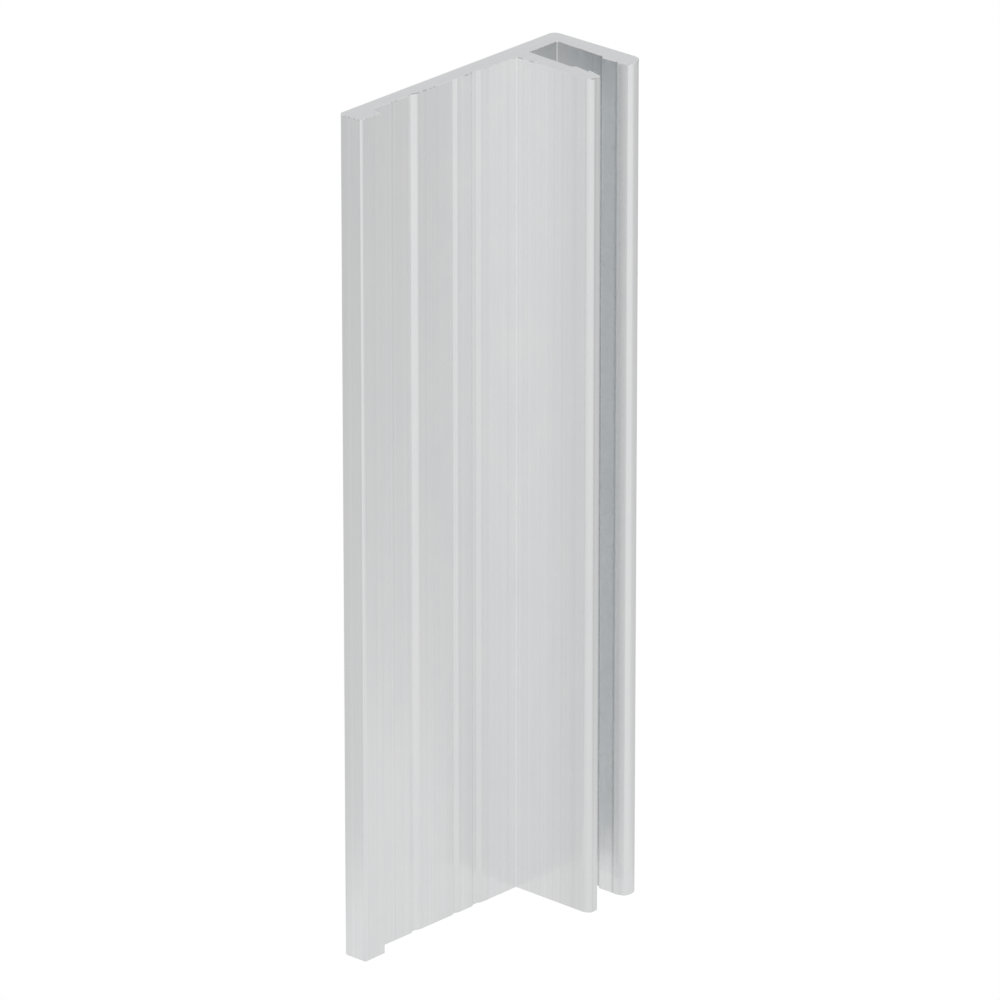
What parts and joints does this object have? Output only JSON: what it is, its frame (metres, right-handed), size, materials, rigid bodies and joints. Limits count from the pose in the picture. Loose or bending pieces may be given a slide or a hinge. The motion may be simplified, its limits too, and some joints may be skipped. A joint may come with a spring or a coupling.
{
  "type": "aluminium extrusion profile",
  "caption": "Sawn length of F-shaped aluminium extrusion: a flat plate with a foot, guide grooves and a barbed channel that grips an insert.",
  "frame": {"origin": "middle of the section's box, on the lower sawn end that it stands on", "axes": "+Z along the extrusion, +X along the plate from the foot to the channel, legs and grooves towards -Y"},
  "size_m": [0.07, 0.0264, 0.2],
  "materials": {
    "mill_aluminium": "mill finish, satin, with fine lines along the extrusion and sawn ends"
  },
  "bodies": {
    "root": {"extrusion_profile": "mill_aluminium"}
  },
  "joints": []
}
